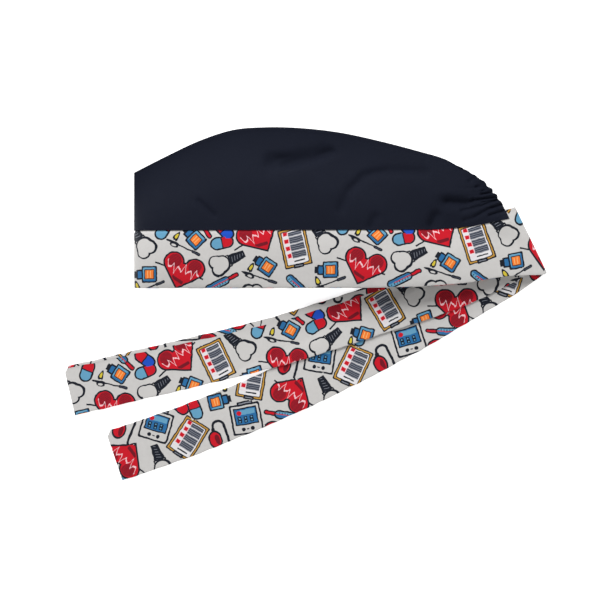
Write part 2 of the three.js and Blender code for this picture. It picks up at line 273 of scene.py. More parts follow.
# The same for what changes along the cap, in millimetres in from the axis of the turned-under end.
CAP_OVER_BEND = (2, 16)
RIDGE_START = (6, 20)
LAP_START = (0.5, 10.5)
OPENING_START = 2
NAPE_RISE = (2, 18)
NAPE_FALL = (30, 95)
NAPE_ACROSS = (0.4, 0.75)  # shares of the way from the rim to the top seam
BULGE_SKEW = 0.85  # under 1 it bulges most a little nearer to the rim than to the seam

# Slow unevenness of the upper side: wavelength, direction in degrees and phase.
SIDE_WAVES = [(62, 20, 0.4), (41, 75, 1.9), (29, 130, 3.3), (88, 160, 5.0)]
SIDE_WAVE_HEIGHT = 0.45
SIDE_WAVE_START = (8, 40)


def tie_coverage(path, x, y, start, end):
    """1 over a tie and 0 clear of it."""
    line = spline(np.array(path)[:, :2], TIE_SAMPLES)
    nearest = np.min([segment_distance(x, y, *a, *b) for a, b in zip(line[:-1], line[1:])], axis=0)
    return 1 - ease(nearest - path[0][2] / 2, start, end)


def bend_coverage(x, y):
    return 1 - ease(from_bend(x, y), *CAP_OVER_BEND)


def tie_right_base(x, y):
    """Height of what lies under the right tie."""
    return LAYER * np.maximum(tie_coverage(TIE_LEFT_PATH, x, y, *TIE_OVER_TIE), bend_coverage(x, y))


def lift(x, y):
    """Height of what lies under the lower side of the cap."""
    ties = sum(tie_coverage(path, x, y, *CAP_OVER_TIE) for path in (TIE_LEFT_PATH, TIE_RIGHT_PATH))
    return LAYER * np.maximum(ties, 2 * bend_coverage(x, y))


def ridge_share(x, y):
    """How far the top seam, at 1, or the flat stack of layers, at 0, sets the height."""
    return ease(from_bend(x, y), *RIDGE_START)


def hollows(rows, x, y):
    """Depth of the deepest of the hollows in a table's rows."""
    deepest = 0
    for ax, ay, bx, by, half_width, depth in rows:
        near = segment_distance(x, y, ax, ay, bx, by) / half_width
        deepest = np.maximum(deepest, depth * np.exp(-(near**2)))
    return deepest


def upper_height(x, y):
    """Height of the cap's outer face on its upper side, its creases included."""
    across = np.clip((y - rim_y(x)) / (top_seam_y(x) - rim_y(x)), 0, 1)
    swell = RIM_OPENING * (1 - across) + CROWN_BULGE * np.sin(math.pi * across**BULGE_SKEW)
    back = from_bend(x, y)
    nape = NAPE_SWELL * ease(back, *NAPE_RISE) * (1 - ease(back, *NAPE_FALL)) * ease(across, *NAPE_ACROSS)
    stack = 2 * STRIP_LAYER_WALL + CLEARANCE + 2 * LAP_RISE * ease(back, *LAP_START)
    opened = lift(x, y) + stack + nape + swell * ease(back, OPENING_START, OPENING_REACH)
    ridge = slope_off(top_seam_y(x) - y, RIDGE_REACH)
    sloped = RIDGE_HEIGHT + (opened - RIDGE_HEIGHT) * mix(1, ridge, ridge_share(x, y))
    nose = round_off(x - FRONT_X, FRONT_REACH)
    dented = hollows(DENTS, x, y) * nose * ridge
    creased = CREASE_DEPTH * hollows(CREASES, x, y) * np.minimum(1, 3 * ridge)
    uneven = SIDE_WAVE_HEIGHT * soft_waves(x, y, SIDE_WAVES) * ease(back, *SIDE_WAVE_START) * nose * ridge
    return RIDGE_HEIGHT + (sloped - RIDGE_HEIGHT) * nose - dented - creased + uneven


def lower_height(x, y):
    ridge = mix(1, slope_off(top_seam_y(x) - y, RIDGE_TUCK), ridge_share(x, y))
    sloped = RIDGE_HEIGHT + (lift(x, y) - RIDGE_HEIGHT) * ridge
    return RIDGE_HEIGHT + (sloped - RIDGE_HEIGHT) * round_off(x - FRONT_X, FRONT_TUCK)


LAP_SLOPE = (-2.2, -0.2)  # past the crown's lower edge, where the band's face goes in
LAP_DIP_SLOPE = (0.5, 4)
LAP_END = (-1, 4)  # past the crown's last section, where the lap ends


def lap_inset(x, y):
    """How far the band's face lies in from the cap's outer face, where the crown laps over it."""
    past_edge = y - curve_height(crown_edge_line, x)
    inset = LAP * ease(past_edge, *LAP_SLOPE) + LAP_DIP * ease(past_edge, *LAP_DIP_SLOPE)
    last_edge = CROWN_SECTIONS[-1][0]
    return inset * (1 - ease(x, last_edge + LAP_END[0], last_edge + LAP_END[1]))


# ---- Meshes in the frame's place ----

shift = np.array([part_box("crown")[0].x / MM - FRONT_X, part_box("band")[0].y / MM - RIM_FRONT_Y, 0.0])
SHARP_ANGLE = math.radians(55)  # edges that turn more than this show as edges
FRONT_ROWS = 50
FRONT_SHARE = 0.1  # of the length, which the front rows take up


def add_object(name, data):
    item = bpy.data.objects.new(name, data)
    bpy.context.scene.collection.objects.link(item)
    return item


def add_piece(name, points, faces, layers, material, node):
    """A mesh piece from points in millimetres that stands for one node of the model.

    layers maps a UV map's name to its values, one for each face corner.
    """
    mesh = bpy.data.meshes.new(name)
    mesh.from_pydata(((points + shift) * MM).tolist(), [], faces)
    for layer_name, values in layers.items():
        layer = mesh.uv_layers.new(name=layer_name)
        layer.data.foreach_set("uv", np.ascontiguousarray(values, np.float32).ravel())
    mesh.polygons.foreach_set("use_smooth", np.ones(len(mesh.polygons), bool))
    mesh.set_sharp_from_angle(angle=SHARP_ANGLE)
    mesh.materials.append(material)
    piece = add_object(name, mesh)
    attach(piece, "root")
    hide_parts(node)
    return piece


def grid_normals(grid):
    return unit(np.cross(np.gradient(grid, axis=0), np.gradient(grid, axis=1)))


def cell_corners(grid, flip):
    """The four corners of every cell of a grid, in the order that a face takes them."""
    a, b, c, d = grid[:-1, :-1], grid[1:, :-1], grid[1:, 1:], grid[:-1, 1:]
    return (a, d, c, b) if flip else (a, b, c, d)


def grid_faces(index, flip):
    return np.stack(cell_corners(index, flip), axis=-1).reshape(-1, 4)


def grid_corners(values, flip):
    """Values at the corners of a grid's faces, in grid_faces' order."""
    return np.stack(cell_corners(values, flip), axis=-2).reshape(-1, 4, values.shape[-1])


def stations_along(rest):
    """Places from 0 at the front fold to 1 at the back, closing up towards the fold."""
    close = FRONT_SHARE * (np.arange(FRONT_ROWS) / FRONT_ROWS) ** 2
    return np.concatenate([close, np.linspace(FRONT_SHARE, 1, rest)])


# ---- The print: where each motif lies ----

REPEAT_ALONG = 136.4  # the print's repeat along the cloth
REPEAT_ACROSS = 150.0
CELL = 60.0  # each kind of motif is drawn once, in a cell of its own of the drawing plane
BLANK = (-3 * CELL, 0.0)  # a place in the drawing plane where nothing is drawn
MARGIN = 1.3  # bare cloth that a motif keeps round itself

# What each motif covers in its own frame, as bars with round ends: x, y and radius at both ends.
CAPSULE_BARS = [(0, -4.1, 5.2, 0, 4.1, 5.2)]
MOTIFS = {
    "heart": [
        *[(side * 8.3, 0, 7.9, 0, -18.5, 0.8) for side in (-1, 1)],
        (0, -3, 4.5, 0, -15, 1.5),
        (-21, -5, 0.7, 17, -5, 0.7),
    ],
    "clipboard": [*[(x, -12.5, 3.0, x, 12.5, 3.0) for x in (-8, 8)], (0, -11, 5.8, 0, 10, 5.5)],
    "bottle": [*[(x, -4.4, 3.3, x, 0.6, 3.3) for x in (-3, 3)], (0, 2, 4.4, 0, 8.4, 2.8)],
    "drop": [(0, -0.9, 2.0, 0, 2.8, 0.9)],
    "probe": [(0, -13, 1.5, 0, -7, 1.3), (0, -7, 0.9, 0, 3, 0.9), (-0.9, 5, 2.1, -0.2, 13.4, 1.2)],
    "capsule_sky": CAPSULE_BARS,
    "capsule_deep": CAPSULE_BARS,
    "thermometer": [(0, -10.6, 3.4, 0, 3, 3.4), (0, 3, 2.4, 0, 12.2, 2.0)],
    "implant": [(-2.6, -1.5, 5.8, 2.6, -1.5, 5.8), (-0.6, 2, 7.2, 0.6, 2, 7.2), (0, 7, 5.2, 0, 19, 3.0)],
    "monitor": [
        *[(x, -8, 4.0, x, 8, 4.0) for x in (-8, 8)],
        (0, -7.5, 4.6, 0, 7.5, 4.6),
        (-4, 12, 2.0, 5.6, 12, 2.0),
    ],
    "bulb": [
        (0, -1.8, 5.2, 0, 1.8, 5.2),
        (0.5, 6, 2.0, 0.8, 9, 1.6),
        (1.6, 11, 1.4, 5, 13, 1.4),
        (5, 13, 1.4, 8.6, 11, 1.4),
        (9.4, 9, 1.2, 9.4, -5.6, 1.2),
        (10.0, -6.8, 1.4, 12.6, -8.4, 1.4),
        (12.6, -8.4, 1.4, 15.2, -6.8, 1.4),
    ],
}
KINDS = list(MOTIFS)

# The charted repeat: for each kind, the places along and across the cloth and the turns clockwise.
CHART = {
    "heart": [(38.9, 27.4, 21), (92.6, 2.0, -29), (4.4, 97.6, -123), (112.0, 118.6, -20)],
    "clipboard": [(122.0, 15.8, -12), (58.4, 96.7, 52), (120.3, 72.8, 33)],
    "bottle": [(10.6, 33.4, -90), (46.4, 7.1, -44), (99.6, 29.0, -55), (89.8, 78.8, 98)],
    "drop": [(2.6, 41.6, -20), (33.4, 5.2, 35), (88.9, 30.0, 30), (98.8, 70.5, 20)],
    "probe": [(38.3, 13.6, -63), (95.0, 37.6, -70), (10.6, 43.8, -110), (84.0, -8.2, 78), (12.5, -9.8, 96)],
    "capsule_sky": [(67.2, 11.0, 79), (23.6, -0.4, 33), (71.4, 77.3, 0)],
    "capsule_deep": [(68.8, 1.4, -40), (60.8, 70.5, 150)],
    "thermometer": [(51.4, -4.4, 148), (67.0, 40.6, 64), (126.0, 46.8, 134), (130.7, 107.0, -56)],
    "implant": [(9.7, 13.2, -37), (65.2, 27.8, 66), (89.4, 49.6, 180), (33.4, 113.2, -3)],
    "monitor": [(38.8, 79.6, 35), (104.9, 99.0, 12)],
    "bulb": [(11.0, 73.5, 40), (77.4, 105.0, 3)],
}

# Where each strip's upper face begins on the chart, and how the print runs along it.
TIE_LEFT_START = 1.1
TIE_LEFT_ROW = 72.0
TIE_RIGHT_START = 6.6
TIE_RIGHT_ROW = -7.0
TIE_RIGHT_STRETCH = 1.015
TIE_RIGHT_LEAN = 0.013  # millimetres across for each millimetre along
BAND_LAP_ROW = -7.6  # where the crown's edge lies
BAND_LEAN = 0.022
BAND_BACK = (175.0, 285.0)  # from the front fold, where the band turns up towards the nape
BACK_DROP = 4.6  # how far the print falls short of that turn, across and along
BACK_SHORT = 1.8


def motif_places(corners):
    """Places in the drawing plane for face corners given in the chart, so that each face is on one motif."""
    centre = corners.mean(axis=1)
    best = np.full(len(centre), np.inf)
    placed = np.empty_like(corners)
    placed[:] = BLANK
    for kind, along, across, turn in ((kind, *place) for kind in CHART for place in CHART[kind]):
        offset = centre - (along, across)
        repeats = np.round(offset / (REPEAT_ALONG, REPEAT_ACROSS)) * (REPEAT_ALONG, REPEAT_ACROSS)
        sine, cosine = math.sin(math.radians(turn)), math.cos(math.radians(turn))
        turned = np.array([[cosine, sine], [sine, -cosine]])
        x, y = turned @ (offset - repeats).T
        away = np.min([bar_distance(x, y, *bar) for bar in MOTIFS[kind]], axis=0)
        nearer = (away < best) & (away < MARGIN)
        best[nearer] = away[nearer]
        own = (corners[nearer] - (along, across) - repeats[nearer][:, None, :]) @ turned.T
        placed[nearer] = own + (CELL * KINDS.index(kind), 0)
    return placed


# ---- Materials ----


def srgb(red, green, blue):
    """A linear colour from 0-255 display values."""
    return tuple(
        c / 12.92 if c <= 0.04045 else ((c + 0.055) / 1.055) ** 2.4
        for c in (red / 255, green / 255, blue / 255)
    ) + (1.0,)


INK = srgb(24, 28, 38)
RED = srgb(196, 22, 38)
DARK_RED = srgb(112, 20, 34)
PINK = srgb(236, 190, 196)
SKY = srgb(98, 154, 186)
BLUE = srgb(42, 104, 156)
DEEP = srgb(30, 78, 186)
ORANGE = srgb(236, 124, 52)
CREAM = srgb(240, 186, 120)
YELLOW = srgb(206, 186, 60)
OCHRE = srgb(186, 140, 62)
WHITE = srgb(222, 220, 222)
GREY = srgb(132, 136, 146)
SLATE = srgb(60, 64, 76)
GROUND = srgb(198, 196, 194)
NAVY_DARK = srgb(11, 15, 27)
NAVY_PALE = srgb(18, 22, 36)


# The mix node's sockets: a share and two colours in, and one colour out.
MIX_SHARE, MIX_FIRST, MIX_SECOND, MIX_COLOUR = 0, 6, 7, 2


class Field:
    """A number that the shader works out at each point of the cloth."""

    def __init__(self, tree, socket):
        self.tree = tree
        self.socket = socket

    def maths(self, operation, *others, clamp=False):
        node = self.tree.nodes.new("ShaderNodeMath")
        node.operation = operation
        node.use_clamp = clamp
        for value, socket in zip((self, *others), node.inputs):
            if isinstance(value, Field):
                self.tree.links.new(value.socket, socket)
            else:
                socket.default_value = value
        return Field(self.tree, node.outputs[0])

    def __add__(self, other):
        return self.maths("ADD", other)

    def __sub__(self, other):
        return self.maths("SUBTRACT", other)

    def __mul__(self, other):
        return self.maths("MULTIPLY", other)

    def size(self):
        return self.maths("ABSOLUTE")

    def least(self, other):
        return self.maths("MINIMUM", other)

    def most(self, other):
        return self.maths("MAXIMUM", other)

    def times_plus(self, factor, extra):
        return self.maths("MULTIPLY_ADD", factor, extra)


def length_of(x, y):
    return y.times_plus(y, x * x).maths("SQRT")


def circle(x, y, cx, cy, radius):
    return length_of(x - cx, y - cy) - radius


def box(x, y, cx, cy, half_x, half_y, corner=0.0):
    side, end = (x - cx).size() - half_x, (y - cy).size() - half_y
    return side.maths("SMOOTH_MAX", end, corner) if corner else side.most(end)


def stadium(x, y, cx, cy, half_y, radius):
    """An upright bar with round ends."""
    end = ((y - cy).size() - (half_y - radius)).most(0.0)
    return length_of(x - cx, end) - radius


def oval(x, y, cx, cy, half_x, half_y):
    return (length_of((x - cx) * (1 / half_x), (y - cy) * (1 / half_y)) - 1) * min(half_x, half_y)


def stripes(x, pitch, width):
    """Bars across x, one to each pitch: less than 0 on a bar."""
    return x.maths("PINGPONG", pitch / 2) - width / 2


def mixed(tree, share, first, second):
    """The colour from first to second as share goes from 0 to 1. Each is a colour or a shader's output."""
    node = tree.nodes.new("ShaderNodeMix")
    node.data_type = "RGBA"
    tree.links.new(share.socket, node.inputs[MIX_SHARE])
    for colour, socket in ((first, node.inputs[MIX_FIRST]), (second, node.inputs[MIX_SECOND])):
        if isinstance(colour, bpy.types.NodeSocket):
            tree.links.new(colour, socket)
        else:
            socket.default_value = colour
    return node.outputs[MIX_COLOUR]


class Print:
    """Draws flat shapes one over another on the cloth's ground colour."""

    EDGE = 0.14  # how far an inked edge bleeds, in millimetres

    def __init__(self, tree, ground):
        self.tree = tree
        self.colour = ground

    def paint(self, shape, colour, grow=0.0):
        """Paints colour wherever shape, grown by that many millimetres, is less than 0."""
        cover = shape.maths("MULTIPLY_ADD", -1 / self.EDGE, grow / self.EDGE + 0.5, clamp=True)
        self.colour = mixed(self.tree, cover, self.colour, colour)

    def inked(self, shape, colour, line=0.55):
        """A shape filled with colour and outlined in ink."""
        self.paint(shape, INK, line)
        self.paint(shape, colour, -line)


# The drawings. Their numbers are places and sizes on the cloth in millimetres, from the motif's centre.


def draw_heart(pen, x, y):
    lobe_x, lobe_r, tip = 8.3, 7.4, -18.2
    reach = math.hypot(lobe_x, tip)
    side_angle = math.atan2(-tip, lobe_x) - math.asin(lobe_r / reach)
    side = math.sqrt(reach**2 - lobe_r**2)
    cosine, sine = math.cos(side_angle), math.sin(side_angle)
    pen.paint(box(x, y, -2.4, -5.0, 19.2, 0.6), INK)
    half = x.size()
    slant = (half * sine).maths("SUBTRACT", (y - tip) * cosine)
    limit = (half * cosine) + ((y - tip) * sine) - side
    body = slant.most(limit).most(y - 1.6)
    heart = circle(half, y, lobe_x, 0, lobe_r).least(body)
    pen.inked(heart, RED, 0.65)
    hatch = stripes(x + y, 1.3, 0.95)
    pen.paint(circle(half, y, lobe_x - 0.4, 1.4, 4.9).most(hatch), DARK_RED)
    pen.paint(box(x, y + x * 0.25, -1.4, -12.2, 4.6, 1.3, 0.8).most(heart + 1.2), DARK_RED)
    beat = (x + 1.2).maths("PINGPONG", 2.3) - 1.15
    swing = beat * ((x * 0.85 + 0.6).maths("SINE") * 1.9 + 2.3) - y - 3.6
    pen.paint((swing.size() - 0.7).most(half - 13.0), PINK)


def draw_clipboard(pen, x, y):
    board = box(x, y, 0, 0, 9.8, 14.2, 1.6)
    for colour, grow in ((INK, 0.8), (OCHRE, -0.1), (INK, -1.1), (WHITE, -1.75)):
        pen.paint(board, colour, grow)
    lines = box(x, y, 2.0, 1.6, 5.2, 10.2)
    pen.paint(lines, SLATE)
    tick = y.maths("WRAP", 2.8, -2.8)
    pen.paint(stripes(tick + 0.7, 1.4, 0.4).most(lines), GREY)
    pen.paint((tick.size() * -1 + 2.5).most(lines), WHITE)
    column = (y - 1.4).size() - 11.0
    pen.paint(box(x, tick, -5.4, 0, 2.1, 1.8).most(column), PINK)
    pen.paint(box(x, tick, -5.4, 0, 1.5, 1.45, 0.3).most(column), RED)
    pen.paint(box(x, y, 1.2, -10.3, 4.2, 0.5), INK)
    pen.inked(box(x, y, 0, -14.2, 3.4, 0.9, 0.6), GREY, 0.6)


def draw_bottle(pen, x, y):
    pen.paint(box(x, y, 0, 8.6, 2.5, 1.7, 0.5), INK)
    pen.inked(box(x, y, 0, 5.2, 3.2, 2.6, 1.2), BLUE, 0.6)
    body = box(x, y, 0, -1.8, 5.7, 5.4, 1.6)
    pen.paint(body, INK, 0.6)
    pen.paint(body, BLUE, -0.5)
    pen.paint(body.most(box(x, y, 0.6, -1.4, 4.6, 4.4)), SKY)
    label = box(x, y, 0.0, -1.8, 3.4, 3.5)
    pen.inked(label, ORANGE, 0.35)
    pen.paint(stripes(y + 0.5, 2.2, 0.5).most(label + 0.8), CREAM)


def draw_drop(pen, x, y):
    taper = x * (y * 0.13 + 1.15)
    pen.inked(oval(taper, y, 0, 0, 1.6, 3.0), YELLOW, 0.5)


def draw_probe(pen, x, y):
    pen.paint(stadium(x, y, 0, -2.5, 11.5, 0.55), INK)
    pen.inked(stadium(x, y, 0, -10.4, 3.4, 0.75), SLATE, 0.4)
    pen.paint(oval(x * (y * 0.05 + 0.5), y, -0.2, 9.0, 1.15, 5.4), INK)
    pen.inked(oval(x, y, -1.5, 7.2, 1.2, 2.7), GROUND, 0.4)


def draw_capsule(pen, x, y, lower):
    shell = stadium(x, y, 0, 0, 8.4, 4.4)
    pen.inked(shell, lower, 0.65)
    pen.paint((shell + 0.65).most(y * -1), RED)
    pen.paint(box(x, y, 0, 0, 4.4, 0.45), INK)


def draw_thermometer(pen, x, y):
    pen.inked(stadium(x, y, 0, 8.4, 5.2, 1.35), RED, 0.5)
    body = stadium(x, y, 0, -4.0, 9.6, 2.75)
    pen.inked(body, SKY, 0.6)
    pen.paint((body + 0.7).most(x + 0.4), BLUE)
    ticks = stripes(y, 2.2, 0.55).most((x - 0.9).size() - 0.8).most(body + 1.0)
    pen.paint(ticks, INK)
    pen.paint(box(x, y, 0.1, -1.5, 0.35, 7.0), RED)


def tooth(x, y):
    """A crown with two cusps, narrowing towards its collar."""
    cusps = circle(x.size(), y, 3.0, -1.9, 4.8)
    neck = oval(x, y, 0.2, 2.2, 6.2, 5.6)
    return cusps.maths("SMOOTH_MIN", neck, 1.6)


def draw_implant(pen, x, y):
    taper = x.size() + (y - 8.5) * 0.13
    screw = (taper - 4.0).most((y - 14.0).size() - 6.2)
    pen.paint(screw, INK, 0.3)
    thread = stripes(y + x * 0.3, 2.1, 0.32).most(taper - 2.2).most(screw + 0.4)
    pen.paint(thread, GREY)
    pen.inked(box(x, y, 0, 7.4, 4.3, 1.1, 0.5), GROUND, 0.5)
    pen.paint(tooth(x, y), INK, 0.65)
    pen.paint(tooth(x + 0.45, y - 0.1), GROUND, -0.75)


def draw_monitor(pen, x, y):
    pen.inked(box(x, y, 0.8, 11.8, 5.4, 1.3, 0.6), GREY, 0.6)
    case = box(x, y, 0, 0, 11.0, 11.0, 2.4)
    pen.inked(case, GROUND, 0.7)
    screen = box(x, y, 0, 2.2, 8.4, 6.2, 0.8)
    pen.inked(screen, BLUE, 0.5)
    pen.paint(box(x, y, 1.6, 5.4, 5.6, 1.9), SKY)
    pen.paint(oval(x, y, -4.8, 5.0, 1.9, 1.7), RED)
    digit = (x + 0.6).maths("WRAP", 2.3, -2.3)
    middle = y + 0.2
    row = (x + 0.6).size() - 6.8
    pen.paint(box(digit, middle, 0, 0, 1.35, 2.4, 0.5).most(row), INK)
    gaps = (digit.size() - 0.55).most((middle.size() - 1.2).size() - 0.5).most(row)
    pen.paint(gaps, SKY)
    pen.paint(circle(x.size(), y, 3.4, -7.6, 1.5), INK)
    pen.paint(box(x, y, 0, -7.6, 0.9, 0.4), INK)


def draw_bulb(pen, x, y):
    hose = (circle(x, y, 5.0, 8.6, 4.4).size() - 0.95).most(y * -1 + 8.6)
    pen.paint(hose, INK)
    pen.paint(box(x, y, 9.4, 1.6, 0.95, 7.2), INK)
    pen.paint((circle(x, y, 12.6, -5.6, 3.2).size() - 0.95).most(y + 5.6), INK)
    pen.paint(stadium(x, y, 0.5, 7.2, 2.2, 1.5), INK)
    pen.inked(oval(x, y, 0, 0, 4.7, 6.4), RED, 0.6)
    pen.paint(oval(x, y, 1.5, -0.4, 1.7, 4.0), DARK_RED)


DRAWINGS = {
    "heart": draw_heart,
    "clipboard": draw_clipboard,
    "bottle": draw_bottle,
    "drop": draw_drop,
    "probe": draw_probe,
    "capsule_sky": lambda pen, x, y: draw_capsule(pen, x, y, SKY),
    "capsule_deep": lambda pen, x, y: draw_capsule(pen, x, y, DEEP),
    "thermometer": draw_thermometer,
    "implant": draw_implant,
    "monitor": draw_monitor,
    "bulb": draw_bulb,
}


def uv_field(tree, name):
    """The two places of a UV map, in millimetres, and its vector."""
    uv = tree.nodes.new("ShaderNodeUVMap")
    uv.uv_map = name
    split = tree.nodes.new("ShaderNodeSeparateXYZ")
    tree.links.new(uv.outputs[0], split.inputs[0])
    return Field(tree, split.outputs[0]), Field(tree, split.outputs[1]), uv.outputs[0]


def noise_field(tree, vector, scale, detail=3.0):
    noise = tree.nodes.new("ShaderNodeTexNoise")
    noise.inputs["Scale"].default_value = scale
    noise.inputs["Detail"].default_value = detail
    tree.links.new(vector, noise.inputs["Vector"])
    return Field(tree, noise.outputs["Fac"])


THREAD_PITCH = 0.42


def weave_bump(tree, x, y, uneven, depth):
    """Normals of a plain weave that deep, in millimetres, with a little unevenness."""
    turn = 2 * math.pi / THREAD_PITCH
    over = (x * turn).maths("SINE") * (y * turn).maths("SINE")
    height = over * 0.5 + uneven
    bump = tree.nodes.new("ShaderNodeBump")
    bump.inputs["Strength"].default_value = 1.0
    bump.inputs["Distance"].default_value = depth * MM
    tree.links.new(height.socket, bump.inputs["Height"])
    return bump.outputs[0]


def new_material(name, settings):
    """A material with its node tree and its shader, whose inputs take the settings."""
    material = bpy.data.materials.new(name)
    material.use_nodes = True
    tree = material.node_tree
    shader = tree.nodes["Principled BSDF"]
    for key, value in settings.items():
        shader.inputs[key].default_value = value
    return material, tree, shader


CLOTH_SETTINGS = {"Specular IOR Level": 0.12, "Sheen Roughness": 0.5}
PRINT_SETTINGS = CLOTH_SETTINGS | {"Roughness": 0.85, "Sheen Weight": 0.08, "Sheen Tint": (1, 1, 1, 1)}
NAVY_SETTINGS = CLOTH_SETTINGS | {"Roughness": 0.8, "Sheen Weight": 0.05, "Sheen Tint": (0.35, 0.42, 0.6, 1)}
MOTTLE = 0.05  # how much the print's ground varies
WOBBLE_X, WOBBLE_Y = 1.1, -0.9  # how far the ink strays from the drawn lines, as by hand


def print_material():
    """White poplin with a repeat of medical things in flat colours and ink lines."""
    material, tree, shader = new_material("printed_poplin", PRINT_SETTINGS)
    x, y, vector = uv_field(tree, "Cloth")
    mottle = noise_field(tree, vector, scale=0.35)
    darker, paler = (tuple(c * tone for c in GROUND[:3]) + (1.0,) for tone in (1 - MOTTLE, 1 + MOTTLE))
    wobble = noise_field(tree, vector, scale=0.28, detail=1.0) - 0.5
    plane_x, plane_y, _ = uv_field(tree, "Motif")
    hand_x = wobble.times_plus(WOBBLE_X, plane_x)
    hand_y = wobble.times_plus(WOBBLE_Y, plane_y)
    pen = Print(tree, mixed(tree, mottle, darker, paler))
    for index, kind in enumerate(KINDS):
        DRAWINGS[kind](pen, hand_x - CELL * index, hand_y)
    tree.links.new(pen.colour, shader.inputs["Base Color"])
    grain = noise_field(tree, vector, scale=2.2, detail=2.0)
    tree.links.new(weave_bump(tree, x, y, grain, depth=0.06), shader.inputs["Normal"])
    return material


def navy_material():
    """Navy poplin: a close plain weave with faint slubs and a soft bloom."""
    material, tree, shader = new_material("navy_poplin", NAVY_SETTINGS)
    x, y, vector = uv_field(tree, "Cloth")
    broad = noise_field(tree, vector, scale=0.03, detail=4.0)
    slub = noise_field(tree, vector, scale=0.9)
    tone = mixed(tree, (broad * 0.6) + (slub * 0.4), NAVY_DARK, NAVY_PALE)
    tree.links.new(tone, shader.inputs["Base Color"])
    tree.links.new(weave_bump(tree, x, y, slub, depth=0.07), shader.inputs["Normal"])
    return material


printed = print_material()
navy = navy_material()

# ---- Crown ----

CROWN_COLUMNS = 66
CROWN_ROWS = 235  # behind the front rows

# The ruffles that the elastic makes along the nape edge, in shares from the lower edge to the seam.
NAPE_BUMPS = 7
NAPE_RUFFLE = 1.3  # how far the ruffles stand out of the edge
NAPE_REACH = 0.05  # share of the crown's length in which they die out
NAPE_BEGIN = (0.16, 0.3)
NAPE_WEAKEN = (0.6, 0.72)
NAPE_WEAKNESS = 0.8
NAPE_STOP = (0.96, 1)
NAPE_LIFT = 1.0
RUFFLE_PEAK, RUFFLE_DIP = 1.3, 0.7
RUFFLE_HEIGHT = 0.9
PLEAT_HEIGHT = 0.4
LOWER_RUFFLE = 0.8
UNEVEN_PITCH = (0.022, 15)  # how far and how often the ruffles crowd together

# The ridge of the top seam, in millimetres in from the seam.
SEAM_PLACE = 1.3
SEAM_HALF_WIDTH = 0.8
SEAM_RISE = 0.35
SEAM_SIDE = 70  # the crown's usual width
LEAST_LEAN = 0.4  # keeps the inner face near the seam where the two sides meet sharply


def crown_plan(place, share):
    """Plan points of the crown at places along it and shares across it, from the lower edge to the seam."""
    edge = spline(crown_rows[:, :2], place)[:, None, :]
    top = spline(crown_rows[:, 2:4], place)[:, None, :]
    table_at = np.clip(place, 0, 1) * (len(crown_rows) - 1)
    bow = np.interp(table_at, np.arange(len(crown_rows)), crown_rows[:, 4])[:, None]
    bow = bow * 4 * share * (1 - share)
    along = unit(top - edge)
    x = mix(edge[..., 0], top[..., 0], share) + along[..., 1] * bow
    y = mix(edge[..., 1], top[..., 1], share) - along[..., 0] * bow
    return x, y


def crown_sheet(is_upper, place, share):
    x, y = crown_plan(place, share)
    near = np.exp(-(1 - place[:, None]) / NAPE_REACH)
    weaker = 1 - NAPE_WEAKNESS * ease(share, *NAPE_WEAKEN)
    window = ease(share, *NAPE_BEGIN) * weaker * (1 - ease(share, *NAPE_STOP))
    wave = share + UNEVEN_PITCH[0] * np.sin(UNEVEN_PITCH[1] * share)
    ruffle = near * window * (RUFFLE_PEAK * np.abs(np.sin(math.pi * NAPE_BUMPS * wave)) - RUFFLE_DIP)
    pleats = near * window * np.sin(2 * math.pi * NAPE_BUMPS * 2 * wave)
    x = x + ruffle * NAPE_RUFFLE * fold_out[0]
    y = y + ruffle * NAPE_RUFFLE * fold_out[1]
    if is_upper:
        seam = np.exp(-(((1 - share) * SEAM_SIDE - SEAM_PLACE) / SEAM_HALF_WIDTH) ** 2)
        gathers = NAPE_LIFT * near * window + ruffle * RUFFLE_HEIGHT + pleats * PLEAT_HEIGHT
        z = upper_height(x, y) + gathers + seam * SEAM_RISE
    else:
        z = lower_height(x, y) + np.abs(ruffle) * LOWER_RUFFLE
    z[:, -1] = RIDGE_HEIGHT
    z[0, :] = RIDGE_HEIGHT
    return np.stack([x, y, z], axis=-1)


def crown_shell(place, share):
    """The cloth's outer and inner faces, in rows from the lower nape round the front to the upper nape."""
    upper, lower = crown_sheet(True, place, share), crown_sheet(False, place, share)
    outer = np.concatenate([lower[:0:-1], upper])
    normals = grid_normals(outer)
    inner = outer - normals * CROWN_WALL
    # Along the seam the inner face keeps to the middle between the two sides.
    mean = unit(normals[:, -1] + normals[::-1, -1])
    lean = np.maximum(LEAST_LEAN, np.sum(mean * normals[:, -1], axis=-1, keepdims=True))
    inner[:, -1] = outer[:, -1] - mean * CROWN_WALL / lean
    return outer, inner


# The crown's baked square: a row for each of its four sheets, then a bar for each open edge.
SHEET_LEFT = 0.01
SHEET_SIZE = 0.94
SHEET_MARGIN = 0.03
EDGE_BARS = (0.956, 0.968, 0.980)
BAR_WIDTH = 0.008
BAR_CLOTH = 300.0  # millimetres of cloth in the length of a bar


